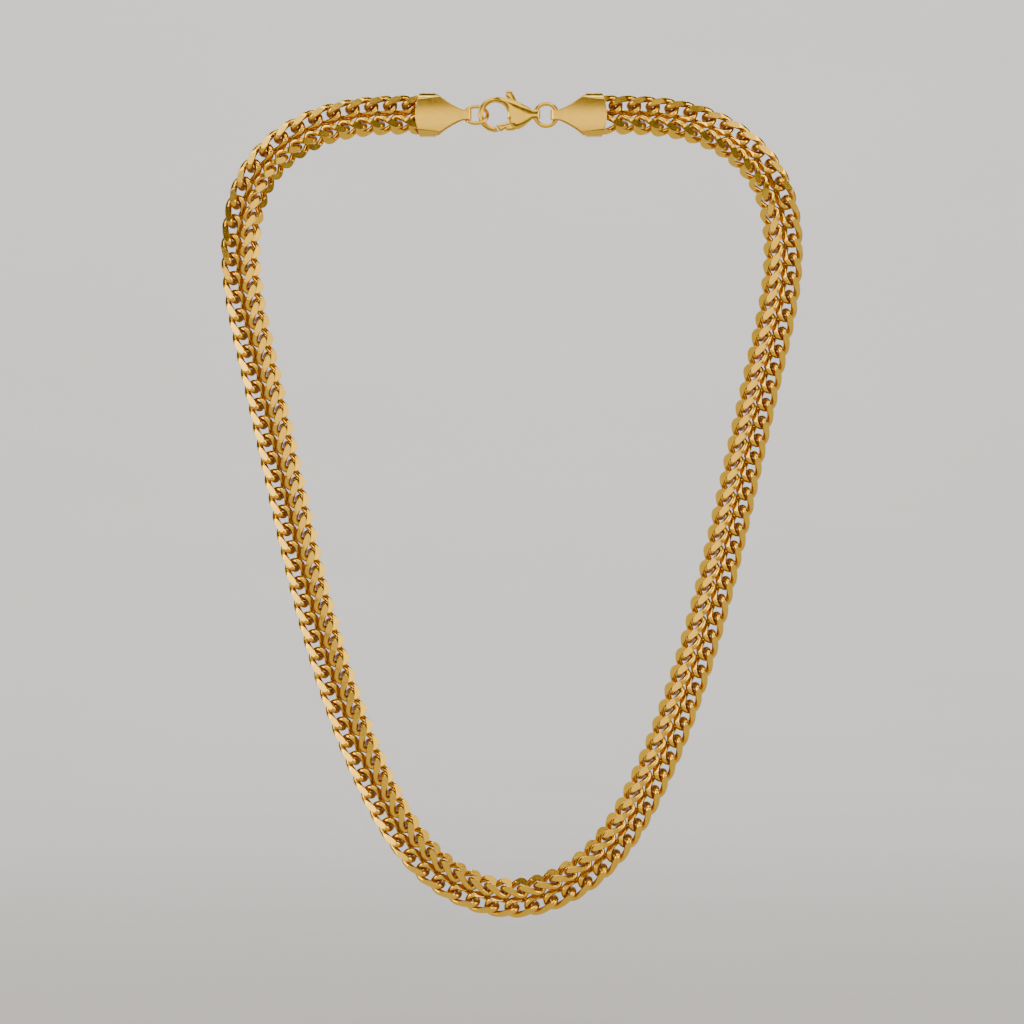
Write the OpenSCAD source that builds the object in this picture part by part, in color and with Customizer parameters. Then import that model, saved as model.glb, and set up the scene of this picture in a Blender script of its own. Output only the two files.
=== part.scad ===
// Double curb link necklace with folded end caps, two jump rings and a lobster clasp.
// Millimetres, +Z up, worn loop upright in the XZ plane, wearer's front towards -Y.
// The origin is the middle of the fastened ends, where the necklace hangs at the nape.

/* [Chain] */
// Half width of one strand along its tilted face
strand_half_w = 2.6; // [2.4:0.05:2.6]
// Half thickness of one strand square to its tilted face
strand_half_t = 2.05; // [1.8:0.05:2.05]
// Distance of each strand's middle from the chain's middle
strand_offset = 2.42; // [2.4:0.01:2.43]
// Tilt of the outer strand's face, its outward edge to the wearer's front
outer_tilt = 17; // [12:1:20]
// Tilt of the inner strand's face, its outward edge to the wearer's front
inner_tilt = 54; // [50:1:56]

/* [End caps] */
// Full height of a cap
cap_h = 11; // [10.8:0.1:12]
// Full depth of a cap at its mouth
cap_d = 7; // [6.8:0.1:8]
// Length of a cap from mouth corner to the end of its bail
cap_l = 12.9; // [12.9:0.05:13]
// Thickness of the sheet
sheet_t = 0.4; // [0.3:0.05:0.5]

/* [Clasp and rings] */
// Wire thickness of the ring next to the hook
ring_left_wire = 0.95; // [0.8:0.05:1]
// Wire thickness of the ring behind the clasp
ring_right_wire = 1.05; // [0.8:0.05:1.1]
// Outer radius of the clasp's hook
hook_r = 4.4; // [4.3:0.05:4.5]
// Thickness of the hook from front to back
hook_d = 1.1; // [1:0.05:1.1]
// Thickness of the clasp's body from front to back
clasp_d = 3.2; // [2.8:0.1:3.6]
// Radius of the lever's pivot pin
pin_r = 0.5; // [0.4:0.05:0.55]

/* [Hidden] */
$fn = 64;

gold = [0.87, 0.70, 0.40];

// Route of the chain's middle: control points [x, z] of a smooth closed curve,
// down the right side from the nape to the lowest point. The left side mirrors it.
right_side = [
    [0, 0], [22, 0], [46, 0], [66, -13], [69, -37], [64, -59], [59, -81],
    [54, -104], [49, -125], [42, -148], [34, -168], [22, -189], [0, -199]
];
half_count = len(right_side) - 1;
left_side = [for (i = [half_count - 1 : -1 : 1]) [-right_side[i].x, right_side[i].y]];
route = concat(right_side, left_side);
span_count = len(route);
steps_per_span = 8;
heading_reach = 0.5;

strand_sides = 12;
strand_rings = 76;
strand_depth_shift = 0.5;
strand_end_x = 20;

// How far a shape that cuts or trims another runs past it
past = 1;

mouth_left_x = -23;
mouth_right_x = 22.5;
mouth_bow = 1.2;
cap_straight = 4.1;
cap_neck_x = 10.7;
cap_neck_half_h = 1.25;
cap_neck_half_d = 2.3;
cap_corner_r = 1.8;
taper_hollow = 0.4;
curve_steps = 10;
arc_step = 15;
bail_corner_r = 1.2;

ring_left_x = -9;
ring_left_r = 3.35;
ring_left_tilt = 40;
ring_right_x = 8.55;
ring_right_r = 3.3;

hook = [-4.1, 0.1];
hook_hole_r = 3;
clasp_neck_x = 5.2;
clasp_neck_half_h = 1.15;
pivot = [1.4, -1.6];
lever_hub_r = 1;
lever_d = 1.1;
lever_slot_d = 1.3;
pin_clearance = 0.05;
pin_inset = 0.2;
knob = [-0.7, 5.2];
knob_r = 0.95;
slit_top = [-4.2, -2.6];
slit_bottom = [-3.05, -4.4];
slit_w = 0.18;
gate_overrun = 0.3;
// Lower left corner and size of the square that holds the gate's heel, past the hook's round
gate_heel = [-1.5, -3.95];
gate_heel_size = 4;
// Where the clasp thickens from the hook to the body and thins to the neck
swell_from_x = -6;
swell_to_x = -0.3;
neck_from_x = 1.6;
neck_pull = 1;
// More than half of the clasp's height
clasp_reach = 8;
// Outlines in [x, z]: the heel and nose below the gate, the gate's opening, the lever's slot,
// the gate itself and the lever's stem
heel = [0.9, -3.6];
nose = [-0.1, -2.9];
gate_opening = [[0.6, -6], [0.6, -3.5], [-0.5, -2.4], [-0.9, -1]];
slot_outline = [[-1.9, 7], [3.9, 7], [3.5, 2.5], [2.8, 0], [2.8, -7], [-3, -7], [-3, -1.5], [-1.9, 0]];
gate_outline = [[0.7, -3.75], [2.1, -2.3], [1.2, -0.8], [-1.3, -1.9]];
stem_outline = [[0.5, -1.6], [2.1, -1], [1.2, 3.5], [0.1, 5.6], [-1.3, 4.6], [-0.2, 3.3]];
// Bezier controls of the clasp's top edge and of its belly
top_pull = [[-1, 4.6], [2.2, 3.2]];
belly_pull = [[4, -1.7], [3, -3.5]];
clasp_bail_half_d = 1.1;
clasp_bail_hole_r = 0.7;
clasp_bail_overlap = 0.6;
clasp_bail_x = 5.75;
clasp_bail_end = 6;

// Uniform cubic B-spline: u runs from 0 to span_count once round the loop
function route_point(i) = route[(i + span_count) % span_count];
function spline(u) =
    let (k = floor(u), f = u - k)
    ((1 - f) ^ 3 * route_point(k - 1)
        + (3 * f ^ 3 - 6 * f ^ 2 + 4) * route_point(k)
        + (-3 * f ^ 3 + 3 * f ^ 2 + 3 * f + 1) * route_point(k + 1)
        + f ^ 3 * route_point(k + 2)) / 6;

// Table of distance along the loop against u, read by lookup()
samples = [for (i = [0 : span_count * steps_per_span]) spline(i / steps_per_span)];
length_table = [
    for (i = 0, s = 0; i < len(samples); s = s + norm(samples[min(i + 1, len(samples) - 1)] - samples[i]), i = i + 1)
    [s, i / steps_per_span]
];
loop_length = length_table[len(length_table) - 1][0];

function along(s) = spline(lookup(s, length_table));
function heading(s) =
    let (d = along(s + heading_reach) - along(s - heading_reach))
    d / norm(d);

// A place beside the route: u outwards from the loop, d towards the wearer's front
function beside(s, u, d) =
    let (p = along(s), t = heading(s))
    [p.x - t.y * u, -d, p.y + t.x * u];

// One point of a strand's tilted oval section; the inner strand lies nearer to the front
function strand_section(side, angle) =
    let (
        w = strand_half_w * cos(angle),
        t = strand_half_t * sin(angle),
        tilt = side > 0 ? outer_tilt : inner_tilt
    )
    [
        side * strand_offset + w * cos(tilt) - t * sin(tilt),
        -side * strand_depth_shift + w * sin(tilt) + t * cos(tilt)
    ];

function bezier(a, b, c, d, t) =
    (1 - t) ^ 3 * a + 3 * t * (1 - t) ^ 2 * b + 3 * t ^ 2 * (1 - t) * c + t ^ 3 * d;

// A closed solid of the strand's outer shape, from inside one cap to inside the other
module strand(side) {
    run = loop_length - 2 * strand_end_x;
    stations = [for (i = [0 : strand_rings - 1]) strand_end_x + run * i / (strand_rings - 1)];
    points = [
        for (s = stations)
        for (k = [0 : strand_sides - 1])
        let (q = strand_section(side, 360 * k / strand_sides))
        beside(s, q[0], q[1])
    ];
    walls = [
        for (i = [0 : strand_rings - 2])
        for (k = [0 : strand_sides - 1])
        let (a = i * strand_sides, b = a + strand_sides, n = (k + 1) % strand_sides)
        each [[a + k, a + n, b + k], [a + n, b + n, b + k]]
    ];
    first = [for (k = [strand_sides - 1 : -1 : 0]) k];
    last = [for (k = [0 : strand_sides - 1]) (strand_rings - 1) * strand_sides + k];
    polyhedron(points, concat(walls, [first, last]), convexity = 10);
}

module outer_strand() {
    color(gold) strand(1);
}

module inner_strand() {
    color(gold) strand(-1);
}

// Lays a drawing made in X and Z flat into the loop's plane, thickness d about the plane
module upright(d) {
    translate([0, d / 2, 0]) rotate([90, 0, 0]) linear_extrude(d) children();
}

// Front view of a cap from its mouth at x = 0 to its bail, with hollow tapers
module cap_front() {
    run = cap_neck_x - cap_straight;
    rise = cap_h / 2 - cap_neck_half_h;
    chord = norm([run, rise]);
    hollow_r = chord ^ 2 / (8 * taper_hollow) + taper_hollow / 2;
    reach = hollow_r - taper_hollow;
    middle = [cap_straight + run / 2, cap_neck_half_h + rise / 2];
    centre = middle + reach * [rise, run] / chord;
    bow_r = ((cap_h / 2) ^ 2 + mouth_bow ^ 2) / (2 * mouth_bow);
    difference() {
        union() {
            polygon([
                [0, -cap_h / 2], [cap_straight, -cap_h / 2],
                [cap_neck_x, -cap_neck_half_h], [cap_l, -cap_neck_half_h],
                [cap_l, cap_neck_half_h], [cap_neck_x, cap_neck_half_h],
                [cap_straight, cap_h / 2], [0, cap_h / 2]
            ]);
            intersection() {
                translate([bow_r - mouth_bow, 0]) circle(bow_r);
                translate([-mouth_bow - past, -cap_h / 2]) square([mouth_bow + 2 * past, cap_h]);
            }
        }
        for (side = [-1, 1])
            intersection() {
                translate([centre.x, side * centre.y]) circle(hollow_r);
                translate([0, -cap_h]) square([cap_neck_x, 2 * cap_h]);
            }
    }
}

// Gently bowed edge from half depth a at the mouth to half depth b at this distance from it
function taper(a, b, reach) = [
    for (i = [0 : curve_steps])
    let (part = i / curve_steps)
    [reach * part, a - (a - b) * part ^ 2]
];

// An edge's points across the long axis, in the order that closes the outline
function mirrored(edge) = [for (i = [len(edge) - 1 : -1 : 0]) [edge[i].x, -edge[i].y]];

// Top view of a cap or of its hollow: inset is 0 for the outside, sheet_t for the inside
module cap_top(inset) {
    half = cap_d / 2 - inset;
    neck = cap_neck_half_d - inset;
    corner = bail_corner_r - inset;
    tip = cap_l - inset - corner;
    round_end = [
        for (angle = [90 - arc_step : -arc_step : 0])
        [tip + corner * cos(angle), neck - corner + corner * sin(angle)]
    ];
    edge = concat([[-mouth_bow - past, half]], taper(half, neck, tip), round_end);
    polygon(concat(edge, mirrored(edge)));
}

// End view of the cap's folded section
module cap_end(inset) {
    half_d = cap_d / 2 - inset;
    half_h = cap_h / 2 - inset;
    corner = cap_corner_r - inset;
    for (a = [-1, 1], b = [-1, 1])
        translate([a * (half_d - corner), b * (half_h - corner)]) circle(corner);
    square([2 * half_d, 2 * (half_h - corner)], center = true);
    square([2 * (half_d - corner), 2 * half_h], center = true);
}

// A sheet folded round a jump ring, boxed in where it grips the chain
module end_cap() {
    deep = cap_h + 2 * past;
    front = -mouth_bow - past;
    difference() {
        intersection() {
            upright(cap_d + 2 * past) cap_front();
            translate([0, 0, -deep / 2]) linear_extrude(deep) cap_top(0);
            rotate([90, 0, 90]) translate([0, 0, front]) linear_extrude(cap_l + past - front) cap_end(0);
        }
        intersection() {
            translate([0, 0, -deep / 2]) linear_extrude(deep) cap_top(sheet_t);
            union() {
                rotate([90, 0, 90]) translate([0, 0, front - past]) linear_extrude(cap_l) cap_end(sheet_t);
                translate([cap_straight, -cap_d, -deep]) cube([cap_l, 2 * cap_d, 2 * deep]);
            }
        }
    }
}

module end_cap_left() {
    color(gold) translate([mouth_left_x, 0, 0]) end_cap();
}

module end_cap_right() {
    color(gold) translate([mouth_right_x, 0, 0]) mirror([1, 0, 0]) end_cap();
}

// A round wire ring in the loop's plane, turned by tilt about the X axis
module jump_ring(outer_r, wire, tilt) {
    rotate([90 + tilt, 0, 0]) rotate_extrude() translate([outer_r - wire / 2, 0]) circle(wire / 2);
}

module jump_ring_left() {
    color(gold) translate([ring_left_x, 0, 0]) jump_ring(ring_left_r, ring_left_wire, -ring_left_tilt);
}

module jump_ring_right() {
    color(gold) translate([ring_right_x, 0, 0]) jump_ring(ring_right_r, ring_right_wire, 0);
}

// Side outline of the clasp: a round hook that swells into a teardrop and its neck
module clasp_outline() {
    crown = hook + [0, hook_r];
    neck_top = [clasp_neck_x, hook.y + clasp_neck_half_h];
    neck_bottom = [clasp_neck_x, hook.y - clasp_neck_half_h];
    translate(hook) circle(hook_r);
    polygon(concat(
        [for (i = [0 : curve_steps]) bezier(crown, top_pull[0], top_pull[1], neck_top, i / curve_steps)],
        [for (i = [0 : curve_steps]) bezier(neck_bottom, belly_pull[0], belly_pull[1], heel, i / curve_steps)],
        [nose, hook]
    ));
}

// The space between the hook's tip and the clasp's body, which the lever closes
module gate_space() {
    polygon(concat([hook, slit_top, slit_bottom, [slit_bottom.x, gate_opening[0].y]], gate_opening));
}

// Top view of the clasp: a thin hook, a thick body and a narrower neck
module clasp_top() {
    thin = hook_d / 2;
    thick = clasp_d / 2;
    swell = (swell_to_x - swell_from_x) / 2;
    edge = concat(
        [[hook.x - hook_r - past, thin]],
        [for (i = [0 : curve_steps]) bezier(
            [swell_from_x, thin], [swell_from_x + swell, thin],
            [swell_to_x - swell, thick], [swell_to_x, thick], i / curve_steps
        )],
        [for (i = [0 : curve_steps]) bezier(
            [neck_from_x, thick], [neck_from_x + neck_pull, thick],
            [clasp_neck_x - neck_pull, clasp_bail_half_d], [clasp_neck_x, clasp_bail_half_d], i / curve_steps
        )]
    );
    polygon(concat(edge, mirrored(edge)));
}

module lever_slot() {
    upright(lever_slot_d) polygon(slot_outline);
}

module clasp_bail() {
    start = clasp_neck_x - clasp_bail_overlap;
    translate([0, 0, hook.y - clasp_neck_half_h]) linear_extrude(2 * clasp_neck_half_h) {
        translate([clasp_bail_end, 0]) circle(clasp_bail_half_d);
        translate([start, -clasp_bail_half_d]) square([clasp_bail_end - start, 2 * clasp_bail_half_d]);
    }
}

module clasp_bail_hole() {
    translate([0, 0, -clasp_reach]) linear_extrude(2 * clasp_reach) {
        translate([clasp_bail_x, 0]) circle(clasp_bail_hole_r);
        translate([clasp_bail_end, 0]) circle(clasp_bail_hole_r);
    }
}

// The hook and hollow body in one piece, with the pin that carries the lever
module clasp_body() {
    color(gold) {
        difference() {
            union() {
                difference() {
                    intersection() {
                        upright(clasp_d + past) clasp_outline();
                        translate([0, 0, -clasp_reach]) linear_extrude(2 * clasp_reach) clasp_top();
                    }
                    upright(clasp_d + 2 * past) translate(hook) circle(hook_hole_r);
                    upright(clasp_d + 2 * past) gate_space();
                    lever_slot();
                }
                clasp_bail();
            }
            clasp_bail_hole();
        }
        translate([pivot.x, 0, pivot.y])
            rotate([90, 0, 0])
            cylinder(r = pin_r, h = clasp_d - 2 * pin_inset, center = true);
    }
}

// The gate, its hub on the pin and the thumb knob, all one piece
module clasp_lever() {
    slit = (slit_bottom - slit_top) / norm(slit_bottom - slit_top);
    step = slit_w * [-slit.y, slit.x];
    color(gold) upright(lever_d) difference() {
        union() {
            intersection() {
                polygon(concat([slit_top + step, slit_bottom + step + gate_overrun * slit], gate_outline));
                union() {
                    translate(hook) circle(hook_r);
                    translate(gate_heel) square(gate_heel_size);
                }
            }
            translate(pivot) circle(lever_hub_r);
            polygon(stem_outline);
            translate(knob) circle(knob_r);
        }
        translate(pivot) circle(pin_r + pin_clearance);
    }
}

outer_strand();
inner_strand();
end_cap_left();
end_cap_right();
jump_ring_left();
jump_ring_right();
clasp_body();
clasp_lever();
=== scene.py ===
"""Looks of a double curb link necklace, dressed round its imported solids."""
import math

import bmesh
import bpy
from mathutils import Matrix, Vector
from mathutils.kdtree import KDTree


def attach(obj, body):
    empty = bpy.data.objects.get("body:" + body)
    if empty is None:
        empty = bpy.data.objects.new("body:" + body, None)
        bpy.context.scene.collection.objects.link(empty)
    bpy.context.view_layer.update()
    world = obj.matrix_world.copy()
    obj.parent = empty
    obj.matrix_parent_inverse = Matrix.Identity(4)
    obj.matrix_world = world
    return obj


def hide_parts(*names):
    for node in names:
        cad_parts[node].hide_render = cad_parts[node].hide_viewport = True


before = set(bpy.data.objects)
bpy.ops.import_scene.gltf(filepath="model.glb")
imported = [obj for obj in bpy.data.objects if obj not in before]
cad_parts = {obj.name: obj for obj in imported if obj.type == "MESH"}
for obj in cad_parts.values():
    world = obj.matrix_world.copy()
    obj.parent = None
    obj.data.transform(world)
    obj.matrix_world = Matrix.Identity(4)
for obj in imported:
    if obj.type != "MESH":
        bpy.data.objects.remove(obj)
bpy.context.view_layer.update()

MM = 0.001

# Photograph: its size and scale, and the pixel that the origin falls on
IMAGE_SIZE = 1024
MM_PER_PIXEL = 0.25
ORIGIN_PIXEL = (512, 115)

# Route of the chain's middle, in mm: control points (x, z) from the nape down the right side
RIGHT_SIDE = [
    (0, 0), (22, 0), (46, 0), (66, -13), (69, -37), (64, -59), (59, -81),
    (54, -104), (49, -125), (42, -148), (34, -168), (22, -189), (0, -199),
]
LEFT_SIDE = [(-x, z) for x, z in reversed(RIGHT_SIDE[1:-1])]
ROUTE = [Vector(point) for point in RIGHT_SIDE + LEFT_SIDE]
STEPS_PER_SPAN = 16

# Chain, in mm and degrees
LINK_COUNT = 110
FIRST_LINK_AT = 23.6
LINK_HALF_LENGTH = 3.27
LINK_HALF_WIDTH = 1.85
LINK_TWIST = 1.26
WIRE = 1.65
LINK_STEPS = 48
WIRE_SIDES = 16
# How far along the wire a facet's cut may reach, as an angle of the link to each side
FACET_REACH = 75
# Edges of a link that are sharper than this many degrees stay sharp
LINK_SHARP_ANGLE = 28
# Wire that faces the front, the back or the rim by less than the first of these is unpolished and in full
# painted shade, and by the second or more it is fully polished, with no painted shade
POLISH_AND_LIGHT_FROM = 0.25
POLISH_AND_LIGHT_TO = 0.85

# Each strand: its side of the chain, how far its middle lies to that side, the tilt of its links
# towards the front, their turn in their own plane, their place towards the front and along the
# chain, and their facets. A facet has its place on the link as an angle, the roll of its face
# outwards, and its depth in the wire.
OUTER_STRAND = {
    "side": 1, "offset": 2.36, "tilt": 17, "spin": 1, "front": -0.54, "lag": 0,
    "facets": [
        {"place": 114, "roll": 10, "depth": 0.45},
        {"place": 298, "roll": 6, "depth": 0.32},
    ],
}
INNER_STRAND = {
    "side": -1, "offset": 2.32, "tilt": 54, "spin": -3, "front": 0.34, "lag": 1.5,
    "facets": [
        {"place": 66, "roll": 4, "depth": 0.5},
        {"place": 220, "roll": 8, "depth": 0.55},
    ],
}


def route_point(index):
    return ROUTE[index % len(ROUTE)]


def spline(u):
    """The uniform cubic B-spline round the loop; u counts control points."""
    k = math.floor(u)
    f = u - k
    return (
        (1 - f) ** 3 * route_point(k - 1)
        + (3 * f ** 3 - 6 * f ** 2 + 4) * route_point(k)
        + (-3 * f ** 3 + 3 * f ** 2 + 3 * f + 1) * route_point(k + 1)
        + f ** 3 * route_point(k + 2)
    ) / 6


def length_table():
    """Distances round the loop at equal steps of u."""
    distances = [0.0]
    steps = len(ROUTE) * STEPS_PER_SPAN
    for i in range(steps):
        step = spline((i + 1) / STEPS_PER_SPAN) - spline(i / STEPS_PER_SPAN)
        distances.append(distances[-1] + step.length)
    return distances


DISTANCES = length_table()
LOOP_LENGTH = DISTANCES[-1]


def along(s):
    """The place on the route at distance s from the nape."""
    s = s % LOOP_LENGTH
    low, high = 0, len(DISTANCES) - 1
    while high - low > 1:
        middle = (low + high) // 2
        if DISTANCES[middle] <= s:
            low = middle
        else:
            high = middle
    part = (s - DISTANCES[low]) / (DISTANCES[high] - DISTANCES[low])
    return spline((low + part) / STEPS_PER_SPAN)


def heading(s, reach=0.5):
    return (along(s + reach) - along(s - reach)).normalized()


def bend(s, reach=3.0):
    """How sharply the route turns inwards at s, in radians for each mm."""
    before, after = heading(s - reach), heading(s + reach)
    return (before.y * after.x - before.x * after.y) / (2 * reach)


# Materials
GOLD = (0.94, 0.57, 0.06)
PALE_GOLD = (0.94, 0.58, 0.07)
# Where between 0 and 1 the noise in the gold's colour is darkest and brightest
TINT_RANGE = (0.3, 0.7)
TINT_SCALE = 320
# The least and the most that the noise in the gloss makes of a gold's roughness
GLOSS_RANGE = (0.7, 1.4)
GLOSS_SCALE = 900
GRAIN_STRENGTH = 0.15
# Gold that the polishing wheel doesn't reach: its colour, which is painted shade for the chain's recesses,
# and how much rougher it is
# This colour paints shade into the chain's recesses
PAINTED_RECESS_SHADE = (0.34, 0.14, 0.03, 1)
RECESS_ROUGHNESS = 0.2


def new_material(name):
    material = bpy.data.materials.new(name)
    material.use_nodes = True
    return material, material.node_tree.nodes, material.node_tree.links


def add_noise(nodes, links, place, scale, detail):
    """Noise that is fixed to the object."""
    noise = nodes.new("ShaderNodeTexNoise")
    noise.inputs["Scale"].default_value = scale
    noise.inputs["Detail"].default_value = detail
    links.new(place.outputs["Object"], noise.inputs["Vector"])
    return noise.outputs["Fac"]


def varied_tint(nodes, links, place, base, wear):
    """A colour that goes from base to darker by the share named wear."""
    noise = add_noise(nodes, links, place, TINT_SCALE, detail=3)
    tint = nodes.new("ShaderNodeValToRGB")
    dark, bright = tint.color_ramp.elements
    dark.position = TINT_RANGE[0]
    dark.color = (*[c * (1 - wear) for c in base], 1)
    bright.position = TINT_RANGE[1]
    bright.color = (*base, 1)
    links.new(noise, tint.inputs["Fac"])
    return tint.outputs["Color"]


def varied_gloss(nodes, links, place, roughness):
    """A roughness that goes up and down round the one given, as fine scratches do."""
    noise = add_noise(nodes, links, place, GLOSS_SCALE, detail=4)
    gloss = nodes.new("ShaderNodeMapRange")
    gloss.inputs["To Min"].default_value = roughness * GLOSS_RANGE[0]
    gloss.inputs["To Max"].default_value = roughness * GLOSS_RANGE[1]
    links.new(noise, gloss.inputs["Value"])
    return gloss.outputs["Result"]


def grain(nodes, links, place, scale, depth):
    """Faint waves in the surface, with their depth in mm."""
    noise = add_noise(nodes, links, place, scale, detail=2)
    bump = nodes.new("ShaderNodeBump")
    bump.inputs["Strength"].default_value = GRAIN_STRENGTH
    bump.inputs["Distance"].default_value = depth * MM
    links.new(noise, bump.inputs["Height"])
    return bump.outputs["Normal"]


def with_recess_shade_and_dulling(nodes, links, colour, gloss):
    """Paints shade into this colour, and makes this gloss duller, where the mesh's polish attribute is
    low.
    """
    polish_and_light = nodes.new("ShaderNodeAttribute")
    polish_and_light.attribute_name = "polish_and_light"
    tint = nodes.new("ShaderNodeMix")
    tint.data_type = "RGBA"
    # Painted shade: where the mask is low the colour goes to this dark brown
    tint.inputs["A"].default_value = PAINTED_RECESS_SHADE
    links.new(polish_and_light.outputs["Fac"], tint.inputs["Factor"])
    links.new(colour, tint.inputs["B"])
    dull = nodes.new("ShaderNodeMapRange")
    dull.inputs["To Min"].default_value = RECESS_ROUGHNESS
    dull.inputs["To Max"].default_value = 0
    links.new(polish_and_light.outputs["Fac"], dull.inputs["Value"])
    total = nodes.new("ShaderNodeMath")
    links.new(dull.outputs["Result"], total.inputs[0])
    links.new(gloss, total.inputs[1])
    return tint.outputs["Result"], total.outputs["Value"]


def gold(name, base, roughness, grain_scale, grain_depth, wear, shade_recesses=False):
    """Polished gold: fine scratches in the gloss, faint waviness, slightly varied colour and, where asked,
    painted shade in the recesses.
    """
    material, nodes, links = new_material(name)
    place = nodes.new("ShaderNodeTexCoord")
    colour = varied_tint(nodes, links, place, base, wear)
    gloss = varied_gloss(nodes, links, place, roughness)
    if shade_recesses:
        colour, gloss = with_recess_shade_and_dulling(nodes, links, colour, gloss)
    shader = nodes["Principled BSDF"]
    shader.inputs["Metallic"].default_value = 1.0
    links.new(colour, shader.inputs["Base Color"])
    links.new(gloss, shader.inputs["Roughness"])
    links.new(grain(nodes, links, place, grain_scale, grain_depth), shader.inputs["Normal"])
    return material


# The chain's gold gets painted shade in its recesses
CHAIN_GOLD = gold(
    "chain gold", GOLD, roughness=0.16, grain_scale=700, grain_depth=0.008, wear=0.06, shade_recesses=True,
)
SHEET_GOLD = gold(
    "sheet gold", PALE_GOLD, roughness=0.20, grain_scale=1200, grain_depth=0.005, wear=0.04,
)
WIRE_GOLD = gold(
    "wire gold", GOLD, roughness=0.17, grain_scale=900, grain_depth=0.005, wear=0.05,
)
CLASP_GOLD = gold(
    "clasp gold", GOLD, roughness=0.17, grain_scale=600, grain_depth=0.006, wear=0.05,
)


# Chain
def link_centre_line(strand, angle):
    """A point of a link's wire: along the strand, outwards across it, and to the front."""
    lean = -strand["side"]
    flat = Vector((
        LINK_HALF_LENGTH * math.cos(angle),
        LINK_HALF_WIDTH * math.sin(angle),
        lean * LINK_TWIST * math.sin(2 * angle),
    ))
    turned = Matrix.Rotation(math.radians(strand["spin"]), 3, "Z") @ flat
    tilted = Matrix.Rotation(math.radians(strand["tilt"]), 3, "X") @ turned
    return tilted + Vector((strand["lag"], strand["side"] * strand["offset"], strand["front"]))


def wire_direction(strand, angle, step=0.01):
    ahead, behind = link_centre_line(strand, angle + step), link_centre_line(strand, angle - step)
    return (ahead - behind).normalized()


def polish_and_light_share(facing, rim_side):
    """How well a wheel reaches this side of the wire, and so how little painted shade it gets: fully at
    the front, back and chain's rim.
    """
    reached = max(abs(facing.z), facing.dot(rim_side))
    return min(max((reached - POLISH_AND_LIGHT_FROM) / (POLISH_AND_LIGHT_TO - POLISH_AND_LIGHT_FROM), 0), 1)


def link_mesh(strand):
    """One link as a closed round wire, with each vertex's ring number and its share of polish and light,
    the opposite of its painted shade.
    """
    mesh = bmesh.new()
    number = mesh.verts.layers.int.new("step")
    polish_and_light = mesh.verts.layers.float.new("polish_and_light")
    rim_side = Vector((0, strand["side"], 0))
    face = Matrix.Rotation(math.radians(strand["tilt"]), 3, "X") @ Vector((0, 0, 1))
    rings = []
    for i in range(LINK_STEPS):
        angle = 2 * math.pi * i / LINK_STEPS
        point = link_centre_line(strand, angle)
        along_wire = wire_direction(strand, angle)
        outwards = along_wire.cross(face).normalized()
        upwards = outwards.cross(along_wire)
        ring = []
        for k in range(WIRE_SIDES):
            turn = 2 * math.pi * k / WIRE_SIDES
            facing = math.cos(turn) * outwards + math.sin(turn) * upwards
            vert = mesh.verts.new(point + facing * WIRE / 2)
            vert[number] = i
            # A low share gets painted shade, a high share none
            vert[polish_and_light] = polish_and_light_share(facing, rim_side)
            ring.append(vert)
        rings.append(ring)
    for i, ring in enumerate(rings):
        after = rings[(i + 1) % LINK_STEPS]
        for k in range(WIRE_SIDES):
            n = (k + 1) % WIRE_SIDES
            mesh.faces.new((ring[k], ring[n], after[n], after[k]))
    bmesh.ops.recalc_face_normals(mesh, faces=mesh.faces)
    return mesh


def cut_facet(mesh, strand, place, roll, depth):
    """Cuts a flat facet in the wire at this angle of the link, and gives the vertices of its rim."""
    number = mesh.verts.layers.int["step"]
    angle = math.radians(place)
    along_wire = wire_direction(strand, angle)
    front = Vector((0, 0, 1))
    normal = (front - front.dot(along_wire) * along_wire).normalized()
    normal = Matrix.Rotation(math.radians(roll), 3, along_wire) @ normal
    middle = link_centre_line(strand, angle) + normal * (WIRE / 2 - depth)

    def near(vert):
        away = (vert[number] * 360 / LINK_STEPS - place + 180) % 360 - 180
        return abs(away) < FACET_REACH

    verts = [vert for vert in mesh.verts if near(vert)]
    edges = [edge for edge in mesh.edges if all(near(vert) for vert in edge.verts)]
    faces = [face for face in mesh.faces if all(near(vert) for vert in face.verts)]
    cut = bmesh.ops.bisect_plane(
        mesh,
        geom=verts + edges + faces,
        plane_co=middle,
        plane_no=normal,
        clear_outer=True,
    )
    rim = [edge for edge in cut["geom_cut"] if isinstance(edge, bmesh.types.BMEdge)]
    bmesh.ops.edgeloop_fill(mesh, edges=rim)
    return {vert for edge in rim for vert in edge.verts}


def faceted_link(strand):
    """One link with its facets, which are fully polished and get no painted shade."""
    mesh = link_mesh(strand)
    polish_and_light = mesh.verts.layers.float["polish_and_light"]
    for facet in strand["facets"]:
        for vert in cut_facet(mesh, strand, **facet):
            vert[polish_and_light] = 1
    return mesh


def link_places(strand):
    """Where each link is: its distance along the route, and its stretch to the local pitch."""
    run = LOOP_LENGTH - 2 * FIRST_LINK_AT
    for i in range(LINK_COUNT):
        s = FIRST_LINK_AT + run * i / (LINK_COUNT - 1)
        yield s, 1 + bend(s) * strand["side"] * strand["offset"]


def place_matrix(s, stretch):
    """Takes (along, outwards, front) to the necklace's frame at distance s, in metres."""
    point, ahead = along(s), heading(s)
    columns = Matrix((
        (ahead.x * stretch, -ahead.y, 0, point.x),
        (0, 0, -1, 0),
        (ahead.y * stretch, ahead.x, 0, point.y),
        (0, 0, 0, 1),
    ))
    return Matrix.Scale(MM, 4) @ columns


def new_piece(name, mesh, material, sharp_angle=None):
    """Makes an object of a bmesh, smooth but for edges sharper than sharp_angle degrees."""
    data = bpy.data.meshes.new(name)
    mesh.to_mesh(data)
    mesh.free()
    data.materials.append(material)
    data.shade_smooth()
    if sharp_angle is not None:
        data.set_sharp_from_angle(angle=math.radians(sharp_angle))
    piece = bpy.data.objects.new(name, data)
    bpy.context.scene.collection.objects.link(piece)
    return piece


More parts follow.
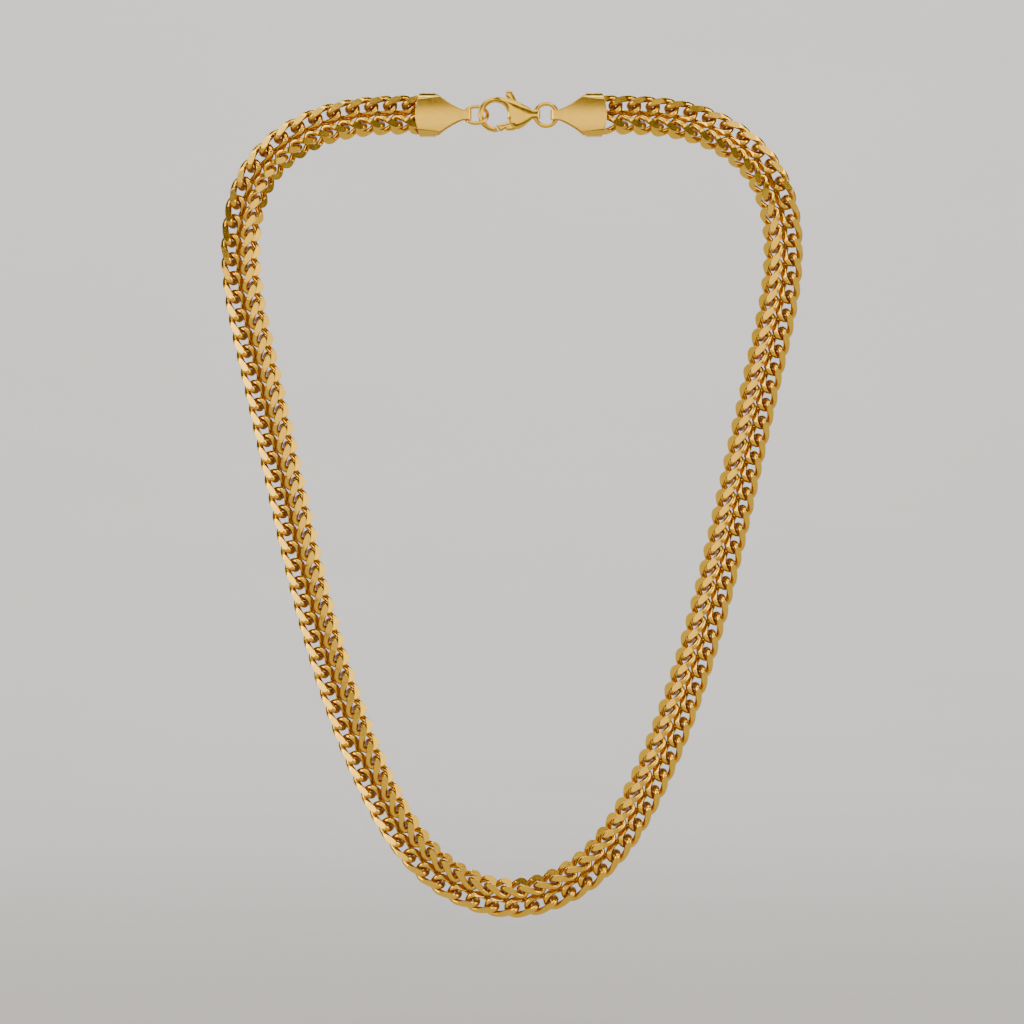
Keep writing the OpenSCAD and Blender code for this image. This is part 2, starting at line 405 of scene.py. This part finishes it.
def chain_row(name, strand, node):
    """Every link of one strand, joined in one mesh."""
    pattern = faceted_link(strand)
    layer = pattern.verts.layers.float["polish_and_light"]
    polish_and_light = [vert[layer] for vert in pattern.verts]
    template = bpy.data.meshes.new(name + " link")
    pattern.to_mesh(template)
    pattern.free()
    joined = bmesh.new()
    for s, stretch in link_places(strand):
        start = len(joined.verts)
        joined.from_mesh(template)
        joined.verts.ensure_lookup_table()
        placed = joined.verts[start:]
        bmesh.ops.transform(joined, matrix=place_matrix(s, stretch), verts=placed)
    bpy.data.meshes.remove(template)
    # The joined mesh takes its shares of polish and light, which set its painted shade, as one list: the
    # pattern's, once for each link
    joined.verts.layers.float.remove(joined.verts.layers.float["polish_and_light"])
    piece = new_piece(name, joined, CHAIN_GOLD, LINK_SHARP_ANGLE)
    # This attribute sets where shade is painted on the chain
    shares = piece.data.attributes.new("polish_and_light", "FLOAT", "POINT")
    shares.data.foreach_set("value", polish_and_light * LINK_COUNT)
    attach(piece, "root")
    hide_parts(node)


def dress_chain():
    chain_row("outer_links", OUTER_STRAND, "outer_strand")
    chain_row("inner_links", INNER_STRAND, "inner_strand")


# Caps, rings and clasp
# How each is rubbed round: the size of the new mesh's cells in mm, and how often it is smoothed
CAP_EDGES = {"voxel": 0.11, "passes": 4}
HOOK_EDGES = {"voxel": 0.09, "passes": 6}
GATE_EDGES = {"voxel": 0.07, "passes": 6}
RING_EDGES = {"voxel": 0.07, "passes": 2}
SMOOTHING = 0.5


def rounded_copy(node, name, body, material, slot, voxel, passes):
    """A finely remeshed copy of a solid with its sharp edges rubbed round."""
    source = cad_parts[node]
    data = source.data.copy()
    data.materials.clear()
    data.materials.append(material)
    piece = bpy.data.objects.new(name, data)
    bpy.context.scene.collection.objects.link(piece)
    remesh = piece.modifiers.new("remesh", "REMESH")
    remesh.mode = "VOXEL"
    remesh.voxel_size = voxel * MM
    smooth = piece.modifiers.new("smooth", "SMOOTH")
    smooth.factor = SMOOTHING
    smooth.iterations = passes
    apply_modifiers(piece)
    piece.data.shade_smooth()
    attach(piece, body)
    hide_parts(node)
    return piece


def apply_modifiers(piece):
    graph = bpy.context.evaluated_depsgraph_get()
    baked = bpy.data.meshes.new_from_object(piece.evaluated_get(graph))
    piece.modifiers.clear()
    piece.data = baked


# The slot that the lever swings in: half its width, where it begins, and how far before that
# the clasp's rounding starts to spare it, in mm
SLOT_HALF = 0.67
SLOT_FROM_X = -3.1
SLOT_BLEND = 1.5
# How far in from its outline each piece is rounded, in mm, and the share of its depth that is
# left at the outline
HOOK_CROWN = {"reach": 2.0, "rim_share": 0.35}
GATE_CROWN = {"reach": 0.8, "rim_share": 0.5}
# A vertex whose normal has less than this towards the front or back belongs to the outline
RIM_FACING = 0.4


def crown(piece, reach, rim_share, slot=0.0):
    """Rounds front and back towards the outline, and spares a slot of this half width in mm."""
    points = piece.data.vertices
    rim = []
    for vert in points:
        outside = abs(vert.co.y) > slot * MM or vert.co.x < SLOT_FROM_X * MM
        if abs(vert.normal.y) < RIM_FACING and outside:
            rim.append((vert.co.x, 0, vert.co.z))
    tree = KDTree(len(rim))
    for i, place in enumerate(rim):
        tree.insert(place, i)
    tree.balance()
    for vert in points:
        distance = tree.find((vert.co.x, 0, vert.co.z))[2]
        inwards = min(distance / (reach * MM), 1)
        share = rim_share + (1 - rim_share) * math.sqrt(1 - (1 - inwards) ** 2)
        blend = min(max((vert.co.x / MM - SLOT_FROM_X + SLOT_BLEND) / SLOT_BLEND, 0), 1)
        kept = slot * MM * blend
        depth = abs(vert.co.y)
        if depth > kept:
            vert.co.y = math.copysign(kept + (depth - kept) * share, vert.co.y)


# Bow of a cap's front and back: the share of its depth that it loses at this height in mm
BOW_SHARE = 0.08
BOW_HEIGHT = 4.5


def bow(piece):
    """Bows the front and back of a cap, so that they are shallower towards the top and bottom."""
    for vert in piece.data.vertices:
        vert.co.y *= 1 - BOW_SHARE * (vert.co.z / (BOW_HEIGHT * MM)) ** 2


def dress_fittings():
    for side in ("left", "right"):
        cap = rounded_copy("end_cap_" + side, "cap_" + side, "root", SHEET_GOLD, "sheet_gold", **CAP_EDGES)
        bow(cap)
    hook = rounded_copy("clasp_body", "clasp_hook", "root", CLASP_GOLD, "clasp_gold", **HOOK_EDGES)
    crown(hook, **HOOK_CROWN, slot=SLOT_HALF)
    gate = rounded_copy("clasp_lever", "clasp_gate", "lever", CLASP_GOLD, "clasp_gold", **GATE_EDGES)
    crown(gate, **GATE_CROWN)
    rounded_copy("jump_ring_left", "ring_left", "root", WIRE_GOLD, "wire_gold", **RING_EDGES)
    rounded_copy("jump_ring_right", "ring_right", "root", WIRE_GOLD, "wire_gold", **RING_EDGES)


# Stage, in metres: camera, floor, backdrop and lights
CAMERA_DISTANCE = 1.6
CAMERA_REACH = 20
SENSOR = 36

# The floor curves up into the backdrop, which stands behind a camera that looks at the back
FLOOR_Z = -0.235
FLOOR_FRONT_Y = -0.5
BACKDROP_Y = 2.0
BACKDROP_TOP_Z = 2.2
CURVE_RADIUS = 0.8
CURVE_STEPS = 24
STAGE_HALF_WIDTH = 2.6
PAPER_SCALE = 40
PAPER_ROUGHNESS = 0.9
DARKER_PAPER = (0.74, 0.73, 0.71, 1)
LIGHTER_PAPER = (0.78, 0.77, 0.75, 1)

# Soft panels, each with its middle, its width and height, its power in watts, its colour and
# the place that it faces
NECKLACE_MIDDLE = (0, 0, -0.1)
WHITE = (1, 1, 1)
WARM = (1.0, 0.92, 0.78)
PANELS = {
    "front strip": {
        "place": (0.0, -2.2, -0.03), "size": (4.0, 0.75), "power": 16, "colour": WARM,
    },
    "upper front panel": {
        "place": (0.15, -1.7, 1.1), "size": (2.6, 0.5), "power": 10, "colour": WARM,
    },
    "top panel": {
        "place": (0.0, -0.7, 1.25), "size": (1.6, 0.5), "power": 9, "colour": WHITE,
    },
    "left panel": {
        "place": (-1.2, -0.65, 0.25), "size": (0.6, 0.9), "power": 8, "colour": WARM,
    },
    "right panel": {
        "place": (1.2, -0.55, 0.15), "size": (0.6, 0.9), "power": 7, "colour": WARM,
    },
    "backdrop panel": {
        "place": (0.0, 1.0, 1.3), "size": (1.8, 0.4), "power": 24, "colour": WHITE,
        "aim": (0, BACKDROP_Y, -0.1),
    },
}
WORLD_COLOUR = (1.0, 0.85, 0.7, 1)
WORLD_STRENGTH = 0.08


def add_camera():
    view_mm = IMAGE_SIZE * MM_PER_PIXEL
    middle_x = (IMAGE_SIZE / 2 - ORIGIN_PIXEL[0]) * MM_PER_PIXEL * MM
    middle_z = (ORIGIN_PIXEL[1] - IMAGE_SIZE / 2) * MM_PER_PIXEL * MM
    data = bpy.data.cameras.new("camera")
    data.sensor_width = SENSOR
    data.lens = SENSOR * CAMERA_DISTANCE / (view_mm * MM)
    data.clip_end = CAMERA_REACH
    camera = bpy.data.objects.new("camera", data)
    camera.location = (middle_x, -CAMERA_DISTANCE, middle_z)
    camera.rotation_euler = (math.radians(90), 0, 0)
    bpy.context.scene.collection.objects.link(camera)
    bpy.context.scene.camera = camera


def stage_material():
    material, nodes, links = new_material("studio paper")
    shader = nodes["Principled BSDF"]
    shader.inputs["Roughness"].default_value = PAPER_ROUGHNESS
    noise = nodes.new("ShaderNodeTexNoise")
    noise.inputs["Scale"].default_value = PAPER_SCALE
    ramp = nodes.new("ShaderNodeValToRGB")
    ramp.color_ramp.elements[0].color = DARKER_PAPER
    ramp.color_ramp.elements[1].color = LIGHTER_PAPER
    links.new(noise.outputs["Fac"], ramp.inputs["Fac"])
    links.new(ramp.outputs["Color"], shader.inputs["Base Color"])
    return material


def add_floor():
    """A pale floor that curves up into the backdrop."""
    profile = [(FLOOR_FRONT_Y, FLOOR_Z)]
    for i in range(CURVE_STEPS + 1):
        angle = math.pi / 2 * i / CURVE_STEPS
        profile.append((
            BACKDROP_Y - CURVE_RADIUS + CURVE_RADIUS * math.sin(angle),
            FLOOR_Z + CURVE_RADIUS - CURVE_RADIUS * math.cos(angle),
        ))
    profile.append((BACKDROP_Y, BACKDROP_TOP_Z))
    mesh = bmesh.new()
    sides = (-STAGE_HALF_WIDTH, STAGE_HALF_WIDTH)
    rows = [[mesh.verts.new((x, y, z)) for x in sides] for y, z in profile]
    for row, after in zip(rows, rows[1:]):
        mesh.faces.new((row[0], row[1], after[1], after[0]))
    new_piece("studio_floor", mesh, stage_material())


def add_panel(name, place, size, power, colour, aim=NECKLACE_MIDDLE):
    """A soft panel of light that faces the place named aim."""
    data = bpy.data.lights.new(name, "AREA")
    data.shape = "RECTANGLE"
    data.size, data.size_y = size
    data.energy = power
    data.color = colour
    light = bpy.data.objects.new(name, data)
    light.location = place
    towards = Vector(aim) - Vector(place)
    light.rotation_euler = towards.to_track_quat("-Z", "Y").to_euler()
    bpy.context.scene.collection.objects.link(light)


def add_lights():
    for name, panel in PANELS.items():
        add_panel(name, **panel)
    world = bpy.data.worlds.new("studio")
    world.use_nodes = True
    background = world.node_tree.nodes["Background"]
    background.inputs["Color"].default_value = WORLD_COLOUR
    background.inputs["Strength"].default_value = WORLD_STRENGTH
    bpy.context.scene.world = world


add_camera()
dress_chain()
dress_fittings()
add_floor()
add_lights()
